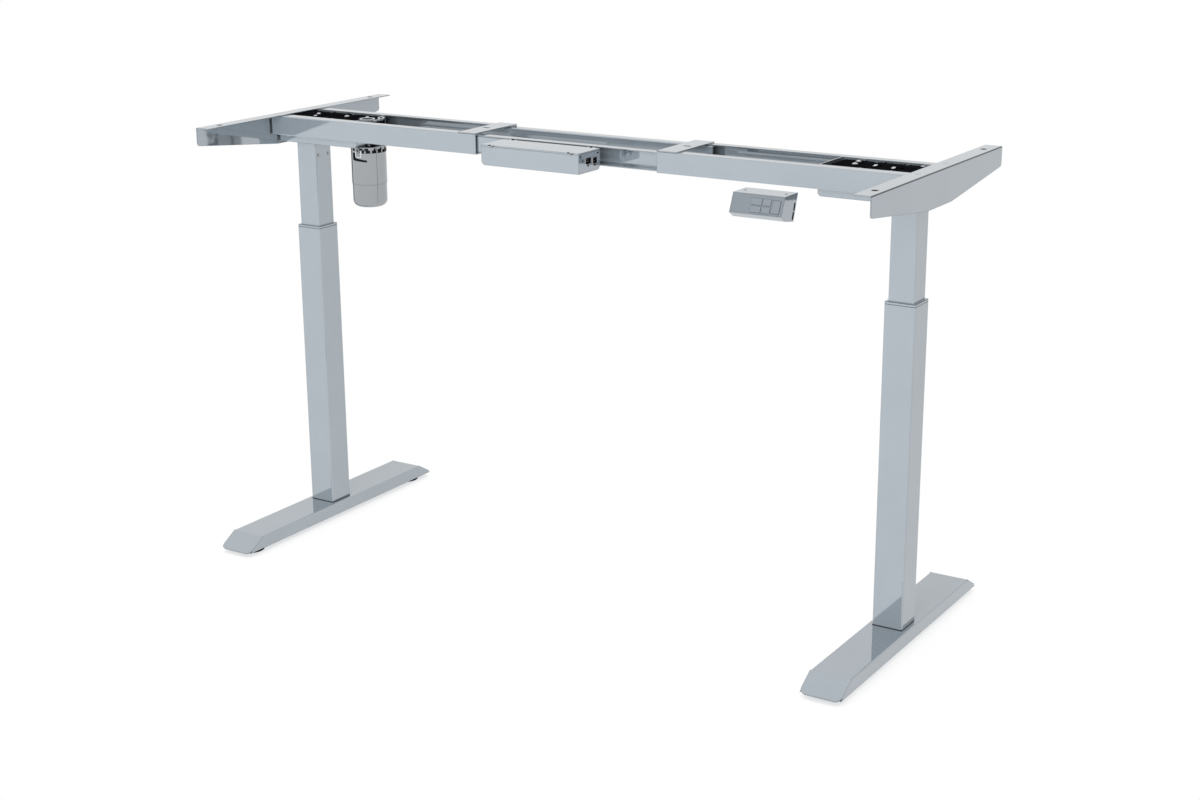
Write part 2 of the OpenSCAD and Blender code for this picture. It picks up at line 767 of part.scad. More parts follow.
module head_screws() {
    color(bright) {
        case_screw_places() {
            difference() {
                translate([0, 0, case_top]) cylinder(h = case_head_h, r = case_head_r);
                translate([0, 0, case_top + case_head_h / 2])
                    cylinder(h = case_head_h, r = case_head_r / 2, $fn = 6);
            }
            translate([0, 0, case_top - 4 * cover_t]) cylinder(h = 4 * cover_t, r = case_screw_r);
        }
        for (s = [-1, 1]) {
            translate([upper_w / 2, s * tube_screw_pitch / 2, frame_h - tube_screw_drop])
                rotate([0, 90, 0]) {
                    cylinder(h = tube_head_h, r = tube_head_r);
                    translate([0, 0, -2 * upper_t]) cylinder(h = 2 * upper_t, r = case_screw_r);
                }
            translate([desk_hole_in - bracket_out, s * bracket_screw_y, 0]) {
                translate([0, 0, frame_h - bracket_screw_head_h])
                    cylinder(h = bracket_screw_head_h, r1 = bracket_screw_r, r2 = bracket_screw_head_r);
                translate([0, 0, frame_h - bracket_screw_l])
                    cylinder(h = bracket_screw_l, r = bracket_screw_r);
            }
        }
    }
}

module motor_profile(inset) {
    z_low = tray_bot - motor_cap_h - motor_mid_h - motor_low_h;
    e = motor_edge_r - inset;
    translate([0, z_low + inset]) square([motor_low_r - motor_edge_r, motor_low_h - inset]);
    translate([0, z_low + motor_edge_r]) square([motor_low_r - inset, motor_low_h - motor_edge_r]);
    intersection() {
        translate([motor_low_r - motor_edge_r, z_low + motor_edge_r]) circle(e);
        translate([0, z_low]) square([motor_low_r, motor_edge_r]);
    }
    translate([0, z_low + motor_low_h - (inset > 0 ? motor_wall : 0)])
        square([(inset > 0 ? motor_low_r : motor_r) - inset, motor_mid_h + (inset > 0 ? 2 * motor_wall : 0)]);
}

module motor_can() {
    color(steel) at_leg(-1) translate([motor_x, 0, 0]) difference() {
        rotate_extrude() motor_profile(0);
        rotate_extrude() motor_profile(motor_wall);
    }
}

module motor_cap() {
    z0 = tray_bot - motor_cap_h;
    color(steel) at_leg(-1) translate([motor_x, 0, 0]) {
        difference() {
            translate([0, 0, z0]) cylinder(h = motor_cap_h, r = motor_r);
            translate([0, 0, z0 - over]) cylinder(h = motor_cap_h + 2 * over, r = motor_shaft_r + run_gap);
            for (i = [0 : cap_slots - 1])
                rotate([0, 0, i * 360 / cap_slots + cap_slot_a])
                    translate([motor_r - cap_slot_deep, -cap_slot_w / 2, z0 + cap_slot_h])
                        cube([2 * cap_slot_deep, cap_slot_w, cap_slot_h]);
        }
        rotate([0, 0, ring_a]) translate([motor_r - over, 0, z0 + motor_cap_h / 2]) rotate([0, 90, 0])
            difference() {
                cylinder(h = ring_l + over, r = ring_r);
                translate([0, 0, over]) cylinder(h = ring_l + over, r = ring_hole_r);
            }
    }
}

module motor_shaft() {
    color(bright) at_leg(-1) translate([motor_x, 0, shaft_z]) {
        bevel(pinion_r, gear_r);
        translate([0, 0, -tray_drop - rotor_h])
            cylinder(h = tray_drop + rotor_h - gear_r * gear_share, r = motor_shaft_r);
        translate([0, 0, -tray_drop - rotor_h]) cylinder(h = rotor_h - motor_cap_h, r = rotor_r);
    }
}

// turns a piece drawn upwards so that it runs along +x at the height of the drive shaft
module on_shaft() {
    translate([0, 0, shaft_z]) rotate([0, 90, 0]) children();
}

module drive_tube() {
    start = gear_r * gear_share;
    color(bright) at_leg(-1) on_shaft() {
        rotate([180, 0, 0]) bevel(gear_r, gear_r);
        translate([0, 0, start]) cylinder(h = tube_stub, r = rod_r);
        translate([0, 0, motor_x]) bevel(gear_r, pinion_r);
        translate([0, 0, tube_stub]) difference() {
            cylinder(h = leg_spacing / 2 - tube_stub, r = tube_r);
            translate([0, 0, motor_x - tube_stub + gear_r])
                cylinder(h = leg_spacing, r = rod_r + run_gap, $fn = 6);
        }
    }
}

module drive_rod() {
    start = gear_r * gear_share;
    color(bright) at_leg(1) on_shaft() {
        rotate([180, 0, 0]) bevel(gear_r, gear_r);
        translate([0, 0, start]) cylinder(h = tube_stub, r = rod_r, $fn = 6);
        translate([0, 0, case_in - 4 * case_wall]) cylinder(h = 8 * case_wall, r = tube_r);
        translate([0, 0, tube_stub])
            cylinder(h = leg_spacing / 2 - tube_stub + rod_reach, r = rod_r, $fn = 6);
    }
}

module box_shape() {
    intersection() {
        along_x(0, box_l) {
            translate([0, 0]) square([box_d - box_edge_r, box_h]);
            translate([0, box_edge_r]) square([box_d, box_h - box_edge_r]);
            translate([box_d - box_edge_r, box_edge_r]) circle(box_edge_r);
        }
        translate([0, box_d / 2, 0]) along_y(box_d) {
            translate([box_edge_r, 0]) square([box_l - box_edge_r, box_h]);
            translate([0, box_edge_r]) square([box_l, box_h - box_edge_r]);
            translate([box_edge_r, box_edge_r]) circle(box_edge_r);
        }
    }
}

module at_box() {
    translate([box_x, -box_y - box_d, box_z]) children();
}

module control_box_case() {
    w = box_edge_wall;
    color(steel) at_box() difference() {
        intersection() {
            box_shape();
            cube([box_l, box_d, box_h - lid_t]);
        }
        translate([w, box_wall, w]) cube([box_l - w - box_wall, box_d - w - box_wall, box_h]);
        for (p = box_socket_shares)
            translate([box_l - 2 * box_wall, (p[0] - p[2] / 2) * box_d, (p[1] - p[3] / 2) * box_h])
                cube([4 * box_wall, p[2] * box_d, p[3] * box_h]);
    }
}

module control_box_sockets() {
    color(dark) at_box() for (p = box_socket_shares) difference() {
        translate([box_l - box_socket_deep, (p[0] - p[2] / 2) * box_d, (p[1] - p[3] / 2) * box_h])
            cube([box_socket_deep, p[2] * box_d, p[3] * box_h]);
        translate([box_l - box_socket_deep + socket_rim, (p[0] - p[2] / 2) * box_d + socket_rim,
            (p[1] - p[3] / 2) * box_h + socket_rim])
            cube([box_socket_deep, p[2] * box_d - 2 * socket_rim, p[3] * box_h - 2 * socket_rim]);
    }
}

module control_box_lid() {
    color(steel) at_box() translate([0, 0, box_h - lid_t]) linear_extrude(lid_t) difference() {
        union() {
            square([box_l, box_d]);
            for (x = [ear_w, box_l - 2 * ear_w])
                translate([x, -ear_l]) square([ear_w, box_d + 2 * ear_l]);
        }
        for (x = [ear_w, box_l - 2 * ear_w], y = [-ear_l / 2, box_d + ear_l / 2])
            translate([x + ear_w / 2, y]) circle(ear_hole_r);
    }
}

// frame of the handset face: origin at its upper right corner, x right, y inwards, z up
module at_face() {
    translate([hand_right, -hand_y, frame_h - hand_drop]) rotate([-face_a, 0, 0]) children();
}

module handset_case() {
    b_y = hand_top_d - hand_back_run;
    color(steel) difference() {
        translate([hand_right - hand_w, -hand_y, frame_h - hand_drop]) along_x(0, hand_w)
            polygon([[0, 0], [hand_top_d, 0], [b_y, -hand_back_drop],
                [hand_low_run - hand_face_run, -hand_face_drop - hand_low_drop],
                [-hand_face_run, -hand_face_drop]]);
        at_face() {
            translate([panel_margin - hand_w, -over, panel_margin - face_l])
                cube([panel_w, panel_t + over, panel_h]);
            translate([hand_wall - hand_w, 0, hand_wall - face_l])
                cube([hand_w - 2 * hand_wall, hand_hollow, face_l - 2 * hand_wall]);
        }
        for (k = [0, 1])
            translate([hand_right - hand_socket_deep, -hand_y + b_y, frame_h - hand_drop - hand_back_drop])
                rotate([-atan2(hand_back_run, hand_back_drop), 0, 0])
                    translate([0, -hand_socket_w - hand_wall, hand_wall + k * (hand_socket_h + hand_wall)])
                        cube([2 * hand_socket_deep, hand_socket_w, hand_socket_h]);
        for (x = [hand_hole_in, hand_w - hand_hole_in])
            translate([hand_right - x, hand_top_d / 2 - hand_y, frame_h - hand_drop - hand_hole_deep])
                cylinder(h = 2 * hand_hole_deep, r = hand_hole_r);
    }
}

// window for a key: shares of the panel, grown on all sides by a gap
module key_window(a, grow) {
    translate([-panel_margin - panel_w + a[0] * panel_w - grow, -panel_margin - a[3] * panel_h - grow])
        square([(a[1] - a[0]) * panel_w + 2 * grow, (a[3] - a[2]) * panel_h + 2 * grow]);
}

// plate drawn in the handset face from a depth over a thickness
module in_face(depth, t) {
    at_face() translate([0, depth + t, 0]) rotate([90, 0, 0]) linear_extrude(t) children();
}

module handset_panel() {
    color(steel) in_face(0, panel_t) difference() {
        translate([-panel_margin - panel_w, -panel_margin - panel_h]) square([panel_w, panel_h]);
        for (a = key_area_shares)
            key_window(a, 0);
        key_window(rocker_area_shares, 0);
    }
}

module memory_key(i) {
    color(bright) {
        in_face(-key_proud, key_proud + panel_t) key_window(key_area_shares[i], -key_gap);
        in_face(panel_t, key_lip_t) key_window(key_area_shares[i], key_lip);
    }
}

module up_down_key() {
    color(bright) in_face(-key_proud, key_proud + panel_t + key_lip_t) key_window(rocker_area_shares, -2 * key_gap);
}

placed() at_leg(-1) foot();  // left_foot
placed() at_leg(-1) base_plate();  // left_base_plate
placed() at_leg(-1) foot_bolts();  // left_foot_bolts
placed() at_leg(-1) lower_tube();  // left_lower_tube
placed() at_leg(-1) collar();  // left_collar
placed() at_leg(-1) nut_tube();  // left_nut_tube
placed() at_leg(-1) nut();  // left_nut
placed() at_leg(-1) upper_tube();  // left_upper_tube
placed() at_leg(-1) tube_guide();  // left_tube_guide
placed() at_leg(-1) tray(-1);  // left_tray
placed() at_leg(-1) gear_case(-1);  // left_gear_case
placed() at_leg(-1) gear_cover(-1);  // left_gear_cover
placed() at_leg(-1) outer_rail(-1);  // left_front_rail
placed() at_leg(-1) outer_rail(1);  // left_rear_rail
placed() at_leg(-1) bridge();  // left_bridge
placed() at_leg(-1) bracket();  // left_bracket
placed() at_leg(-1) head_screws();  // left_head_screws
placed() at_leg(-1) spindle();  // left_spindle
placed() at_leg(-1) glide(-1);  // left_front_glide
placed() at_leg(-1) glide(1);  // left_back_glide
placed() at_leg(1) foot();  // right_foot
placed() at_leg(1) base_plate();  // right_base_plate
placed() at_leg(1) foot_bolts();  // right_foot_bolts
placed() at_leg(1) lower_tube();  // right_lower_tube
placed() at_leg(1) collar();  // right_collar
placed() at_leg(1) nut_tube();  // right_nut_tube
placed() at_leg(1) nut();  // right_nut
placed() at_leg(1) upper_tube();  // right_upper_tube
placed() at_leg(1) tube_guide();  // right_tube_guide
placed() at_leg(1) tray(1);  // right_tray
placed() at_leg(1) gear_case(1);  // right_gear_case
placed() at_leg(1) gear_cover(1);  // right_gear_cover
placed() at_leg(1) outer_rail(-1);  // right_front_rail
placed() at_leg(1) outer_rail(1);  // right_rear_rail
placed() at_leg(1) bridge();  // right_bridge
placed() at_leg(1) bracket();  // right_bracket
placed() at_leg(1) head_screws();  // right_head_screws
placed() at_leg(1) spindle();  // right_spindle
placed() at_leg(1) glide(-1);  // right_front_glide
placed() at_leg(1) glide(1);  // right_back_glide
placed() motor_can();
placed() motor_cap();
placed() motor_shaft();
placed() drive_tube();
placed() drive_rod();
placed() middle_rail(-1);  // front_middle_rail
placed() middle_rail(1);  // rear_middle_rail
placed() control_box_case();
placed() control_box_lid();
placed() control_box_sockets();
placed() handset_case();
placed() handset_panel();
placed() memory_key(0);  // memory_key_1
placed() memory_key(1);  // memory_key_2
placed() memory_key(2);  // memory_key_3
placed() memory_key(3);  // memory_key_4
placed() up_down_key();
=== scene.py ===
import json
import math
from collections import namedtuple
import bmesh
import bpy
from mathutils import Matrix, Vector


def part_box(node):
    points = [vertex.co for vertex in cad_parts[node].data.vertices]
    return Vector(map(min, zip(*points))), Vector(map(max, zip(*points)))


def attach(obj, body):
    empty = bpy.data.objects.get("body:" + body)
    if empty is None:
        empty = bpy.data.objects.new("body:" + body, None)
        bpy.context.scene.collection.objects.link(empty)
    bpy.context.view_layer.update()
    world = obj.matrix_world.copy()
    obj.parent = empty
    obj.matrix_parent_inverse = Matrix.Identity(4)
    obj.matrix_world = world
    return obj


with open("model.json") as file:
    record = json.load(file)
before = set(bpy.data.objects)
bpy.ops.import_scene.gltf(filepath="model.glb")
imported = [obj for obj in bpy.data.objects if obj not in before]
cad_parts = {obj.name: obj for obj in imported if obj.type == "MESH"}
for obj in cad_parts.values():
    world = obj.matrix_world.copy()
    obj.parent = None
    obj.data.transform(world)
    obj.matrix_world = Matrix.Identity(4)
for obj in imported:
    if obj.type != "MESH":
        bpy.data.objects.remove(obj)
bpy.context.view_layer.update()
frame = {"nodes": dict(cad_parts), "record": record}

bpy.context.scene.view_settings.view_transform = "Standard"
scene = bpy.context.scene
nodes = frame["nodes"]

Box = namedtuple("Box", "x0 y0 z0 x1 y1 z1")


def box(node):
    """Lowest and highest corner of a solid, in millimetres to a hundredth."""
    low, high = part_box(node)
    return Box(*(round(value * 1000, 2) for value in (*low, *high)))


def heights(node, above, below):
    """Two heights in metres, so many millimetres above a solid's foot and below its top."""
    solid = box(node)
    return (solid.z0 + above) / 1000, (solid.z1 - below) / 1000


def on_top(solid):
    """Height in metres half a millimetre below a solid's top."""
    return (solid.z1 - 0.5) / 1000


# Places in millimetres, as the solids have them.
TUBE = box("right_lower_tube")
LEG_X = (TUBE.x0 + TUBE.x1) / 2
COLUMN_Y = (TUBE.y0 + TUBE.y1) / 2
FOOT_TOP = box("right_foot").z1
ARM = box("right_bracket")
HOLE_X = ARM.x1 - 17  # desk holes in the brackets
HOLES_Y = (COLUMN_Y - 240, COLUMN_Y + 240)
COVERS = {side: box(side + "_gear_cover") for side in ("left", "right")}
COVER_Z = COVERS["left"].z1
FRONT_RAIL, REAR_RAIL = box("right_front_rail"), box("right_rear_rail")
INNER_FRONT, INNER_REAR = box("front_middle_rail"), box("rear_middle_rail")
CAP = box("motor_cap")
MOTOR_X = (CAP.x0 + CAP.x1) / 2
MOTOR_RADIUS = (CAP.x1 - CAP.x0) / 2
CASE, CASE_LID = box("control_box_case"), box("control_box_lid")
HAND = box("handset_case")
HAND_HOLES_X = (HAND.x0 + 10, HAND.x1 - 10)
HAND_HOLES_Y = HAND.y1 - 22.5

# Camera: angles in degrees, place in metres, focal length in pixels of the photograph.
YAW, PITCH, ROLL = 32.264, 16.712, -0.379
CAMERA_PLACE = (1.9764, -3.0479, 1.4633)
FOCAL_PIXELS, PHOTO_WIDTH = 1907.7, 1200
SENSOR_WIDTH = 36.0

# Colours and shares of the materials.
COAT = (0.405, 0.442, 0.475)
COAT_METALLIC = 0.7
MARK_SHADE = 0.06  # what is left of the colour in a mark of painted shade
FOLD_SHADE = 0.16  # and in the painted shade along the brackets' top fold
WHITE = (1, 1, 1, 1)


def make_camera():
    """Camera at the photograph's angle."""
    yaw, pitch, roll = math.radians(YAW), math.radians(PITCH), math.radians(ROLL)
    look = Vector((-math.sin(yaw) * math.cos(pitch), math.cos(yaw) * math.cos(pitch),
                   -math.sin(pitch)))
    level_right = Vector((math.cos(yaw), math.sin(yaw), 0))
    level_up = level_right.cross(look)
    right = level_right * math.cos(roll) + level_up * math.sin(roll)
    up = level_up * math.cos(roll) - level_right * math.sin(roll)
    data = bpy.data.cameras.new("photo_camera")
    data.sensor_fit = "HORIZONTAL"
    data.sensor_width = SENSOR_WIDTH
    data.lens = FOCAL_PIXELS / PHOTO_WIDTH * SENSOR_WIDTH
    data.clip_start, data.clip_end = 0.05, 60
    camera = bpy.data.objects.new("photo_camera", data)
    place = Matrix((right, up, -look)).transposed().to_4x4()
    place.translation = Vector(CAMERA_PLACE)
    camera.matrix_world = place
    scene.collection.objects.link(camera)
    scene.camera = camera


class Tree:
    """Node tree of a material or the world. A source is a pair of node and output name."""

    def __init__(self, owner):
        owner.use_nodes = True
        self.tree = owner.node_tree
        self.tree.nodes.clear()

    def add(self, kind, **values):
        """New node: capitalised names are its inputs, the others its settings."""
        node = self.tree.nodes.new(kind)
        for key, value in values.items():
            if key[0].islower():
                setattr(node, key, value)
            else:
                node.inputs[key.replace("_", " ")].default_value = value
        return node

    def link(self, source, node, name):
        self.tree.links.new(source[0].outputs[source[1]], node.inputs[name])

    def calc(self, operation, *values):
        """One calculation on sources and numbers."""
        node = self.add("ShaderNodeMath", operation=operation)
        for i, value in enumerate(values):
            if isinstance(value, tuple):
                self.link(value, node, i)
            else:
                node.inputs[i].default_value = value
        return node, "Value"

    def axis(self, source, name):
        """X, Y or Z of a vector."""
        node = self.add("ShaderNodeSeparateXYZ")
        self.link(source, node, "Vector")
        return node, name

    def between(self, source, low, high, **values):
        """Source from 0 to 1, spread from low to high."""
        node = self.add("ShaderNodeMapRange", To_Min=low, To_Max=high, **values)
        self.link(source, node, "Value")
        return node, "Result"

    def noise(self, place, scale, detail):
        node = self.add("ShaderNodeTexNoise", Scale=scale, Detail=detail)
        self.link(place, node, "Vector")
        return node, "Fac"

    def ramp(self, source, stops):
        """Colour between stops of position and colour."""
        node = self.add("ShaderNodeValToRGB")
        elements = node.color_ramp.elements
        while len(elements) > 1:
            elements.remove(elements[-1])
        for i, (position, colour) in enumerate(stops):
            element = elements.new(position) if i else elements[0]
            element.position = position
            element.color = (*colour, 1)
        self.link(source, node, "Fac")
        return node, "Color"

    def clouded(self, source, colour, spread):
        """The colour, darker and lighter by a share."""
        return self.ramp(source, [(0.3, tuple(c * (1 - spread) for c in colour)),
                                  (0.7, tuple(min(1, c * (1 + spread)) for c in colour))])

    def bump(self, source, strength, distance, shader):
        node = self.add("ShaderNodeBump", Strength=strength, Distance=distance)
        self.link(source, node, "Height")
        self.link((node, "Normal"), shader, "Normal")

    def mix(self, factor, first, second):
        node = self.add("ShaderNodeMixShader")
        self.link(factor, node, "Fac")
        self.link(first, node, 1)
        self.link(second, node, 2)
        return node, "Shader"


def painted_edge_shade(t, radius, dark):
    """1 on open faces, falling to dark in a thin line of painted shade along folds and cut edges.
    """
    rounded = t.add("ShaderNodeBevel", samples=6, Radius=radius)
    flat = t.add("ShaderNodeNewGeometry")
    alike = t.add("ShaderNodeVectorMath", operation="DOT_PRODUCT")
    t.link((rounded, "Normal"), alike, 0)
    t.link((flat, "True Normal"), alike, 1)
    return t.between((alike, "Value"), dark, 1.0, From_Min=0.80, From_Max=0.97)


def painted_spot_shade(t, place, height, marks):
    """1 on open metal, low in round marks of painted shade, of (x, y, outer radius, inner radius)
    in millimetres.

    They show above a height in metres. An inner radius of 0 is a full disc, else it is a ring.
    """
    level = t.add("ShaderNodeVectorMath", operation="MULTIPLY")
    level.inputs[1].default_value = (1, 1, 0)
    t.link(place, level, 0)
    total = None
    for x, y, outer, inner in marks:
        node = t.add("ShaderNodeVectorMath", operation="DISTANCE")
        node.inputs[1].default_value = (x / 1000, y / 1000, 0)
        t.link((level, "Vector"), node, 0)
        away = (node, "Value")
        mark = t.calc("LESS_THAN", away, outer / 1000)
        if inner:
            mark = t.calc("MULTIPLY", mark, t.calc("GREATER_THAN", away, inner / 1000))
        total = t.calc("MAXIMUM", total, mark) if total else mark
    high = t.calc("GREATER_THAN", t.axis(place, "Z"), height)
    return t.between(t.calc("MULTIPLY", total, high), 1.0, MARK_SHADE)


def dull_faces(t, place, axis, low, high):
    """Metallic share: 0 on faces that look along an axis between two heights in metres.

    Faces that look up and down both count, of the others only those that look backwards.
    Mirrors that face each other closely run out of bounces and would be black.
    """
    facing = t.axis((t.add("ShaderNodeNewGeometry"), "True Normal"), axis)
    if axis == "Z":
        facing = t.calc("ABSOLUTE", facing)
    z = t.axis(place, "Z")
    dull = t.calc("MULTIPLY", t.calc("GREATER_THAN", facing, 0.5), t.calc("GREATER_THAN", z, low))
    dull = t.calc("MULTIPLY", dull, t.calc("LESS_THAN", z, high))
    return t.between(dull, COAT_METALLIC, 0.0)


def painted_fold_shade(t, place, far_x, low_z):
    """Painted shade along a fold: 1 on open metal, low beyond far_x on either side and above
    low_z, both in metres.
    """
    far = t.calc("GREATER_THAN", t.calc("ABSOLUTE", t.axis(place, "X")), far_x)
    high = t.calc("GREATER_THAN", t.axis(place, "Z"), low_z)
    return t.between(t.calc("MULTIPLY", far, high), 1.0, FOLD_SHADE)


def new_material(name, **values):
    """Material with its tree, its shader and the place on the object."""
    mat = bpy.data.materials.new(name)
    t = Tree(mat)
    shader = t.add("ShaderNodeBsdfPrincipled", **values)
    t.link((shader, "BSDF"), t.add("ShaderNodeOutputMaterial"), "Surface")
    return mat, t, shader, (t.add("ShaderNodeTexCoord"), "Object")


def metal(name, colour, rough, metallic=COAT_METALLIC, wave=0.0, speckle=0.02, edge=0.12,
          radius=0.0016, marks=None, dull=None, fold=None):
    """Coated or plated metal: faint clouds in colour and gloss, a thin line of painted shade along
    edges.
    """
    mat, t, shader, place = new_material(name, Metallic=metallic)
    fine = t.noise(place, 420.0, 2.0)
    tint = t.clouded(t.noise(place, 9.0, 3.0), colour, speckle)
    if dull:
        t.link(dull_faces(t, place, *dull), shader, "Metallic")
    # Painted shade multiplied into the colour: a thin dark line along edges, and where given a
    # fold line and round marks.
    shade = painted_edge_shade(t, radius, edge)
    if fold:
        shade = t.calc("MULTIPLY", shade, painted_fold_shade(t, place, *fold))
    if marks:
        shade = t.calc("MULTIPLY", shade, painted_spot_shade(t, place, *marks))
    shaded_tint = t.add("ShaderNodeVectorMath", operation="SCALE")
    t.link(tint, shaded_tint, 0)
    t.link(shade, shaded_tint, "Scale")
    t.link((shaded_tint, "Vector"), shader, "Base Color")
    t.link(t.between(fine, rough * 0.8, rough * 1.3), shader, "Roughness")
    if wave:
        t.bump(fine, wave, 0.0004, shader)
    return mat


def plastic(name, colour, rough):
    """Moulded plastic with a fine grain and a slightly uneven gloss."""
    mat, t, shader, place = new_material(name, Specular_IOR_Level=0.0)
    cloud = t.noise(place, 60.0, 3.0)
    t.link(t.clouded(cloud, colour, 0.15), shader, "Base Color")
    t.link(t.between(cloud, rough * 0.85, rough * 1.2), shader, "Roughness")
    t.bump(t.noise(place, 1400.0, 2.0), 0.15, 0.0002, shader)
    return mat


# Round marks of painted shade at holes and screws, like those in the photograph: x, y, outer and
# inner radius in millimetres. Those added with += lie at the screw holes.
BRACKET_SHADE_MARKS = [
    (717.4, -35.2, 4.2, 3.0), (717.4, -35.2, 1.4, 0), (718.0, 85.5, 4.2, 3.0),
    (718.0, 85.5, 1.4, 0), (-717.4, -35.2, 4.2, 3.0), (-718.0, 85.5, 4.2, 3.0),
    (-711.3, -252.7, 1.8, 0), (-703.0, -46.9, 1.8, 0)]
BRACKET_SHADE_MARKS += [(x, y, 7.2, 5.6) for x in (HOLE_X, -HOLE_X) for y in HOLES_Y]
LID_SHADE_MARKS = [(-127.1, -60.3, 1.7, 0), (0.7, -113.7, 1.5, 0), (81.9, -114.3, 1.5, 0),
             (-40.0, -55.0, 1.2, 0)]
HANDSET_SHADE_MARKS = [(530.7, -287.9, 1.3, 0), (604.1, -288.5, 1.3, 0)]
HANDSET_SHADE_MARKS += [(x, HAND_HOLES_Y, 3.3, 0) for x in HAND_HOLES_X]

FRAME = metal("frame_coat", COAT, 0.05)
# The brackets' round marks and their top fold line are painted shade.
BRACKET = metal("bracket_coat", COAT, 0.06, marks=(on_top(ARM), BRACKET_SHADE_MARKS),
                fold=((ARM.x1 - 1.7) / 1000, (ARM.z1 - 2.3) / 1000))
# Lid and handset: round marks of painted shade at holes and screws.
LID = metal("lid_coat", COAT, 0.06, marks=(on_top(CASE_LID), LID_SHADE_MARKS))
BOX = metal("box_coat", COAT, 0.05, dull=("Y", *heights("control_box_case", -1, -1)))
OUTER = metal("outer_rail_coat", COAT, 0.05, dull=("Z", *heights("right_front_rail", 1.5, 1.5)))
RAIL = metal("inner_rail_coat", COAT, 0.05, dull=("Z", *heights("front_middle_rail", 0.9, 1.1)))
HANDSET = metal("handset_coat", COAT, 0.06, marks=(on_top(HAND), HANDSET_SHADE_MARKS))
PLATED = metal("plated_steel", (0.36, 0.375, 0.39), 0.05, metallic=0.9)
ZINC = metal("zinc_steel", (0.66, 0.67, 0.68), 0.16, wave=0.1, speckle=0.06, edge=0.4,
             radius=0.0006)
BLACK = plastic("black_plastic", (0.010, 0.010, 0.012), 0.4)
KEYS = metal("key_face", (0.27, 0.295, 0.325), 0.12, edge=0.3, radius=0.0007)
PANEL = metal("fascia_coat", (0.25, 0.275, 0.305), 0.10, edge=0.25, radius=0.0009)

# Look of each slot, and of the nodes that differ from their slot.
LOOK = {"frame_metal": FRAME, "plated": PLATED, "zinc": ZINC, "black_plastic": BLACK,
        "key_plastic": KEYS}
OWN = {"left_bracket": BRACKET, "right_bracket": BRACKET, "control_box_lid": LID,
       "handset_panel": PANEL, "handset_case": HANDSET, "control_box_case": BOX,
       "front_middle_rail": RAIL, "rear_middle_rail": RAIL, "left_front_rail": OUTER,
       "left_rear_rail": OUTER, "right_front_rail": OUTER, "right_rear_rail": OUTER}


def dress():
    """Puts the materials on the solids."""
    slots = {s["node"]: s["material_slot"] for s in frame["record"]["subparts"]}
    for name, obj in nodes.items():
        mat = OWN.get(name, LOOK[slots[name]])
        if not obj.material_slots:
            obj.data.materials.append(mat)
        for s in obj.material_slots:
            s.material = mat


def rays_that_see_white(t):
    """1 for camera, glossy and transmission rays, which all see the white background."""
    path = t.add("ShaderNodeLightPath")
    seen = t.calc("MAXIMUM", (path, "Is Camera Ray"), (path, "Is Glossy Ray"))
    return t.calc("MAXIMUM", seen, (path, "Is Transmission Ray"))


def make_world():
    """White for those rays, half as bright where it lights the object."""
    world = bpy.data.worlds.new("studio")
    scene.world = world
    t = Tree(world)
    soft = t.add("ShaderNodeBackground", Color=WHITE, Strength=0.5)
    white = t.add("ShaderNodeBackground", Color=WHITE, Strength=1.0)
    mixed = t.mix(rays_that_see_white(t), (soft, "Background"), (white, "Background"))
    t.link(mixed, t.add("ShaderNodeOutputWorld"), "Surface")


def area(name, place, target, size, power, colour):
    """Rectangular lamp that lights the object but isn't seen in it."""
    data = bpy.data.lights.new(name, "AREA")
    data.shape = "RECTANGLE"
    data.size, data.size_y = size
    data.energy = power
    data.color = colour
    lamp = bpy.data.objects.new(name, data)
    lamp.location = place
    lamp.rotation_euler = (Vector(target) - Vector(place)).to_track_quat("-Z", "Y").to_euler()
    lamp.visible_glossy = False
    scene.collection.objects.link(lamp)


def make_floor():
    """White floor with a soft painted shadow close to the feet."""
    bpy.ops.mesh.primitive_plane_add(size=40, location=(0, 0, 0))
    floor = bpy.context.object
    floor.name = "floor"
    mat = bpy.data.materials.new("floor_white")
    t = Tree(mat)
    lit = t.add("ShaderNodeBsdfDiffuse", Color=(0.86, 0.86, 0.86, 1))
    shown = t.add("ShaderNodeEmission", Strength=1.0)
    # Painted shadow: the floor's white darkened by ambient occlusion near the feet.
    painted_floor_shadow = t.add("ShaderNodeAmbientOcclusion", Distance=0.35)
    t.link(t.ramp((painted_floor_shadow, "AO"), [(0.0, (0.66, 0.67, 0.69)), (0.7, (1, 1, 1))]), shown, "Color")
    mixed = t.mix(rays_that_see_white(t), (lit, "BSDF"), (shown, "Emission"))
    t.link(mixed, t.add("ShaderNodeOutputMaterial"), "Surface")
    floor.data.materials.append(mat)


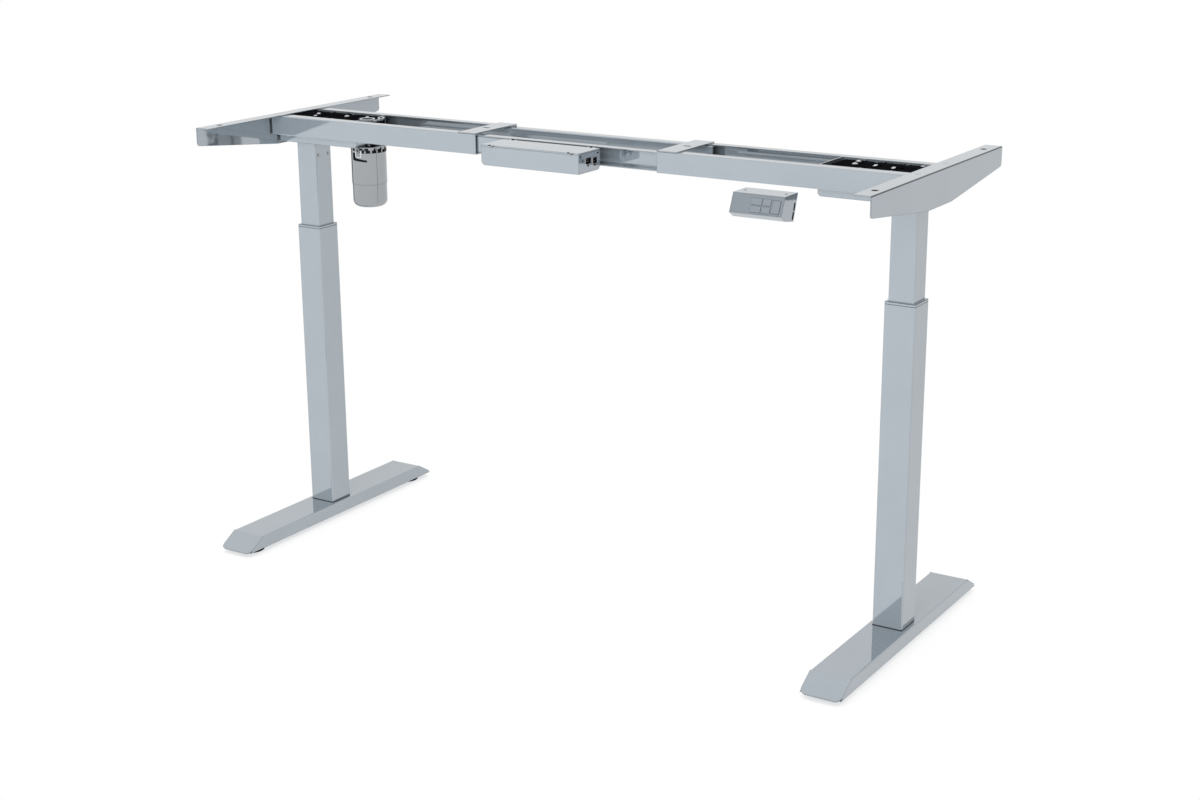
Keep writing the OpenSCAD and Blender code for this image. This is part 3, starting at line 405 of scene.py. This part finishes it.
class Shape:
    """Mesh in millimetres, put together from prisms, turned forms and curved plates."""

    def __init__(self):
        self.bm = bmesh.new()

    def skin(self, first, second):
        """Faces all round between two rings."""
        count = len(first)
        for i in range(count):
            j = (i + 1) % count
            self.bm.faces.new((first[i], first[j], second[j], second[i]))

    def caps(self, first, last):
        self.bm.faces.new(first[::-1])
        self.bm.faces.new(last)

    def prism(self, outline, low, high, axis="z"):
        """Outline of (a, b) points drawn out along an axis."""
        place = {"z": lambda a, b, c: (a, b, c),
                 "x": lambda a, b, c: (c, a, b),
                 "y": lambda a, b, c: (a, c, b)}[axis]
        rings = [[self.bm.verts.new(place(a, b, c)) for a, b in outline] for c in (low, high)]
        self.caps(*rings)
        self.skin(*rings)

    def block(self, low, high, cut):
        """Box with its four upright corners cut."""
        (x0, y0, z0), (x1, y1, z1) = low, high
        self.prism([(x0 + cut, y0), (x1 - cut, y0), (x1, y0 + cut), (x1, y1 - cut),
                    (x1 - cut, y1), (x0 + cut, y1), (x0, y1 - cut), (x0, y0 + cut)], z0, z1)

    def turned(self, profile, centre, count=32, closed=False, axis="z"):
        """Profile of (radius, height) turned about z or x; closed joins its end to its start."""
        cx, cy, cz = centre
        rings = []
        for radius, height in profile:
            ring = []
            for i in range(count):
                turn = 2 * math.pi * i / count
                u, v = radius * math.cos(turn), radius * math.sin(turn)
                place = {"z": (cx + u, cy + v, cz + height),
                         "x": (cx + height, cy + u, cz + v)}[axis]
                ring.append(self.bm.verts.new(place))
            rings.append(ring)
        for first, second in zip(rings, rings[1:]):
            self.skin(first, second)
        if closed:
            self.skin(rings[-1], rings[0])
        else:
            self.caps(rings[0], rings[-1])

    def band(self, centre, r0, r1, a0, a1, z0, z1, count, end_z0=None, end_z1=None):
        """Plate bent from angle a0 to a1 in degrees; its heights may be others at a1."""
        cx, cy = centre
        end_z0 = z0 if end_z0 is None else end_z0
        end_z1 = z1 if end_z1 is None else end_z1
        rows = []
        for i in range(count + 1):
            share = i / count
            turn = math.radians(a0 + (a1 - a0) * share)
            low, high = z0 + (end_z0 - z0) * share, z1 + (end_z1 - z1) * share
            rows.append([self.bm.verts.new((cx + r * math.cos(turn), cy + r * math.sin(turn), z))
                         for r, z in ((r0, low), (r1, low), (r1, high), (r0, high))])
        for first, second in zip(rows, rows[1:]):
            self.skin(first, second)
        self.caps(rows[0], rows[-1])

    def piece(self, name, body, slot, round_off=0.0):
        """Makes the object; round_off is the radius taken off every sharp edge."""
        bmesh.ops.recalc_face_normals(self.bm, faces=self.bm.faces)
        if round_off:
            sharp = [e for e in self.bm.edges
                     if e.is_manifold and e.calc_face_angle(0) > math.radians(50)]
            bmesh.ops.bevel(self.bm, geom=sharp, offset=round_off, segments=2, affect="EDGES",
                            clamp_overlap=True)
        bmesh.ops.scale(self.bm, vec=(0.001, 0.001, 0.001), verts=self.bm.verts)
        mesh = bpy.data.meshes.new(name)
        self.bm.to_mesh(mesh)
        self.bm.free()
        obj = bpy.data.objects.new(name, mesh)
        obj.data.materials.append(LOOK[slot])
        scene.collection.objects.link(obj)
        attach(obj, body)


# Screws on top of the gear covers, placed to look like the photograph, and the cross ribs.
COVER_SCREWS = {
    "left": [(-709.8, 37.3), (-670.5, 42.7), (-657.9, 16.5), (-595.6, 43.7), (-547.0, 50.7),
             (-523.0, 4.0)],
    "right": [(561.1, 66.0), (566.6, 38.2), (607.3, 37.6), (645.1, 29.8), (683.3, 68.0),
              (707.0, 12.0)]}
CROSS_RIBS_X = (575, 612, 650, 705)


def head_pieces(side, sign):
    """Black blocks between the rails as painted shade of that gap, grommets of the desk holes,
    ribs and screws on the gear cover.
    """
    body = side + "_head"
    web, gap = 2.2, 0.2  # outer rail's sheet with the gap, and the gap
    # Black blocks put at the outer rails' ends, where the gap between outer and middle rail shows
    # as shade.
    gap_shade_blocks = Shape()
    for y0, y1 in ((FRONT_RAIL.y0 + web, INNER_FRONT.y0 - gap),
                   (INNER_REAR.y1 + gap, REAR_RAIL.y1 - web)):
        x0, x1 = sorted((sign * (FRONT_RAIL.x0 + 0.4), sign * (FRONT_RAIL.x0 + 27)))
        gap_shade_blocks.block((x0, y0, FRONT_RAIL.z0 + web), (x1, y1, FRONT_RAIL.z1 - web), 0.5)
    gap_shade_blocks.piece(side + "_rail_gap_shade_blocks", body, "black_plastic", 0.2)

    rubber = Shape()
    for y in HOLES_Y:
        rubber.turned([(3.3, -2.9), (7.6, -2.9), (7.9, -2.5), (7.6, -2.1), (5.35, -2.0),
                       (5.35, -0.25), (5.0, -0.05), (3.7, -0.05), (3.3, -0.4)],
                      (sign * HOLE_X, y, ARM.z1), closed=True)
    rubber.piece(side + "_hole_grommets", body, "black_plastic")

    start, end = sorted((abs(COVERS[side].x0), abs(COVERS[side].x1)))
    half = 1.2
    rib_top, low_rib_top = COVER_Z + 2.4, COVER_Z + 1.6
    ribs = Shape()
    for y in (COLUMN_Y - 27.5, COLUMN_Y + 27.5):
        x0, x1 = sorted((sign * (start + 42), sign * (end - 4)))
        ribs.block((x0, y - half, COVER_Z), (x1, y + half, rib_top), 0.4)
    for x in CROSS_RIBS_X:
        if x > start + 45:
            for y0, y1, top in ((-41, -29.2, rib_top), (29.2, 41, rib_top),
                                (-26.0, 26.0, low_rib_top)):
                ribs.block((sign * x - half, COLUMN_Y + y0, COVER_Z),
                           (sign * x + half, COLUMN_Y + y1, top), 0.4)
    ribs.turned([(25.0, 0), (25.0, 2.2), (24.4, 2.8), (21.8, 2.8), (21.2, 2.2), (21.2, 0)],
                (sign * LEG_X, COLUMN_Y, COVER_Z), 48, closed=True)
    ribs.piece(side + "_cover_ribs", body, "black_plastic", 0.25)

    screws = Shape()
    for x, y in COVER_SCREWS[side]:
        screws.turned([(0.2, 1.1), (1.5, 1.1), (1.7, 2.3), (2.9, 2.5), (3.5, 1.9), (3.7, 0.9),
                       (5.4, 0.8), (5.4, 0.0), (0.2, 0.0)], (x, y, COVER_Z), 24)
    screws.piece(side + "_cover_screws", body, "zinc")


def motor_pieces():
    """Slots and a clip round the motor's top, an arch with screws on the gear cover above it."""
    body = "left_head"
    centre = (MOTOR_X, COLUMN_Y)
    inner = MOTOR_RADIUS - 0.4
    outer = MOTOR_RADIUS + 1.0
    base = CAP.z0
    black = Shape()
    black.band(centre, inner, outer, -110, -98, base - 15.0, base - 0.2, 4)
    black.band(centre, inner, outer, -104, -57, base - 16.1, base - 10.3, 14,
               base - 18.5, base - 14.7)
    for a0, a1 in ((-74, -66), (-60, -46), (-40, -26), (-20, -6), (0, 14), (20, 30)):
        black.band(centre, inner, MOTOR_RADIUS + 0.7, a0, a1, base - 0.3, base + 5.9, 5)
    for a0, a1 in ((-112, -104), (-82, -70), (-64, -52), (-34, -28), (-12, -4), (10, 16),
                   (34, 42)):
        black.band(centre, inner, MOTOR_RADIUS + 0.4, a0, a1, base + 6.0, base + 10.0, 4)
    black.piece("motor_cap_slots", body, "black_plastic", 0.2)

    clip = Shape()
    for a0, a1, z0, z1 in ((-97, -92, -7.5, 9.5), (-78, -73.5, -7.5, 5.5),
                           (-97, -73.5, -9.3, -7.1)):
        clip.band(centre, MOTOR_RADIUS - 0.2, MOTOR_RADIUS + 1.4, a0, a1, base + z0, base + z1, 6)
    clip.piece("motor_clip", body, "zinc", 0.25)

    arch = Shape()
    arch.band(centre, 31.5, 35.5, -84, 84, COVER_Z, COVER_Z + 3.4, 28)
    arch.turned([(16.5, 0), (16.5, 1.6), (15.9, 2.1), (12.2, 2.1), (11.6, 1.6), (11.6, 0)],
                (*centre, COVER_Z), 36, closed=True)
    arch.piece("motor_arch", body, "frame_metal", 0.3)

    pins = Shape()
    pin_circle = 26
    for angle in (-60, -20, 20, 60):
        x = MOTOR_X + pin_circle * math.cos(math.radians(angle))
        y = COLUMN_Y + pin_circle * math.sin(math.radians(angle))
        pins.turned([(0.2, 1.2), (1.3, 1.2), (1.5, 2.3), (2.4, 2.4), (3.0, 1.8), (3.2, 0),
                     (0.2, 0)], (x, y, COVER_Z), 20)
    pins.piece("motor_arch_screws", body, "zinc")


def box_pieces():
    """Plate in the front middle rail, ports in the control box's end, eyelets in its ears."""
    body = "middle"
    start, end = INNER_FRONT.x0 + 1, -60.0
    low, high = INNER_FRONT.z0 + 2.3, INNER_FRONT.z1 - 2.3
    plate = Shape()
    plate.prism([(start, low), (end - 10, low), (end, low + 9.4), (end, high - 9.4),
                 (end - 10, high), (start, high)], INNER_FRONT.y0 + 0.1, INNER_FRONT.y0 + 1.9, "y")
    plate.piece("front_rail_plate", body, "frame_metal", 0.3)

    frames, notches, pins = Shape(), Shape(), Shape()
    rim = 0.8
    face = CASE.x1
    for dy, dz, width, height, columns, rows in ((32.1, 21.45, 19.0, 11.7, 4, 2),
                                                 (54.75, 19.5, 14.6, 11.3, 3, 2)):
        cy, cz = CASE.y0 + dy, CASE.z0 + dz
        y0, y1, z0, z1 = cy - width / 2, cy + width / 2, cz - height / 2, cz + height / 2
        for low, high in (((y0 - rim, z0 - rim), (y0, z1 + rim)),
                          ((y1, z0 - rim), (y1 + rim, z1 + rim)),
                          ((y0, z1), (y1, z1 + rim)),
                          ((y0, z0 - rim), (y1, z0))):
            frames.block((face, *low), (face + 0.9, *high), 0.1)
        notches.prism([(cy - 3.2, z0 - 1.0), (cy - 1.4, z0 - 4.6), (cy + 1.4, z0 - 4.6),
                       (cy + 3.2, z0 - 1.0)], face, face + 0.6, "x")
        for i in range(columns):
            for j in range(rows):
                y = cy + (i - (columns - 1) / 2) * (width - 4) / columns
                z = cz + (j - (rows - 1) / 2) * (height - 4) / rows
                pins.turned([(0.55, 0), (0.55, 5.4), (0.3, 6.0)], (face - 8, y, z), 10, axis="x")
    notches.turned([(1.7, 0), (1.7, 0.4), (1.2, 0.7)], (face, CASE.y0 + 13.7, CASE.z0 + 23.5),
                   20, axis="x")
    for y in (CASE.y0 + 6, CASE.y1 - 7.5):
        notches.block((face, y - 2.2, CASE.z1 - 5.4), (face + 0.6, y + 2.2, CASE.z1 - 2.6), 0.1)
    frames.piece("port_frames", body, "zinc")
    notches.piece("port_notches", body, "black_plastic")
    pins.piece("port_pins", body, "zinc")

    ears = Shape()
    for x in (CASE_LID.x0 + 21, CASE_LID.x1 - 21):
        for y in (CASE_LID.y0 + 3, CASE_LID.y1 - 3):
            ears.turned([(0.9, 0), (3.3, 0), (3.3, -0.7), (2.0, -0.9), (1.85, -3.6), (0.9, -3.6)],
                        (x, y, CASE_LID.z1 + 0.7), 20, closed=True)
    ears.piece("ear_eyelets", body, "black_plastic")


def handset_pieces():
    """Plugs in the handset's right end, set along its sloping back, and its top screws."""
    body = "middle"
    back_run, back_drop = 15, HAND.z1 - HAND.z0
    back_foot = Matrix.Translation((0, HAND.y1 - back_run, HAND.z0))
    along_back = back_foot @ Matrix.Rotation(-math.atan2(back_run, back_drop), 4, "X")
    plugs = Shape()
    for z in (2.5, 17.5):
        plugs.block((HAND.x1 - 1.9, -7.2, z + 0.3), (HAND.x1 - 0.3, -2.8, z + 12.2), 0.1)
    for v in plugs.bm.verts:
        v.co = along_back @ v.co
    plugs.piece("handset_plugs", body, "black_plastic", 0.15)

    heads = Shape()
    for x in HAND_HOLES_X:
        heads.turned([(0.2, -1.7), (0.9, -1.7), (1.1, -0.9), (2.0, -0.9), (2.0, -2.3),
                      (0.2, -2.3)], (x, HAND_HOLES_Y, HAND.z1), 20)
    heads.piece("handset_screws", body, "black_plastic")


def foot_pieces(side, sign):
    """Gasket between the foot's top and the lower edge of the column."""
    outer = (TUBE.x1 - TUBE.x0) / 2 - 0.3
    inner = outer - 1
    low, high = FOOT_TOP + 0.05, TUBE.z0 - 0.05
    x = sign * LEG_X
    ring = Shape()
    for x0, x1, y0, y1 in ((-outer, -inner, -outer, outer), (inner, outer, -outer, outer),
                           (-inner, inner, -outer, -inner), (-inner, inner, inner, outer)):
        ring.block((x + x0, COLUMN_Y + y0, low), (x + x1, COLUMN_Y + y1, high), 0.2)
    ring.piece(side + "_foot_gasket", side + "_base", "black_plastic")


make_camera()
make_world()
make_floor()
area("key_light", (0.5, -3.8, 1.7), (0.1, 0, 0.6), (2.5, 2.0), 142, (0.88, 0.96, 1.0))
area("fill_light", (-2.8, -2.6, 2.6), (0, 0, 0.6), (2.5, 2.5), 18, (1.0, 0.99, 0.98))
dress()
for side, sign in (("left", -1), ("right", 1)):
    head_pieces(side, sign)
    foot_pieces(side, sign)
motor_pieces()
box_pieces()
handset_pieces()
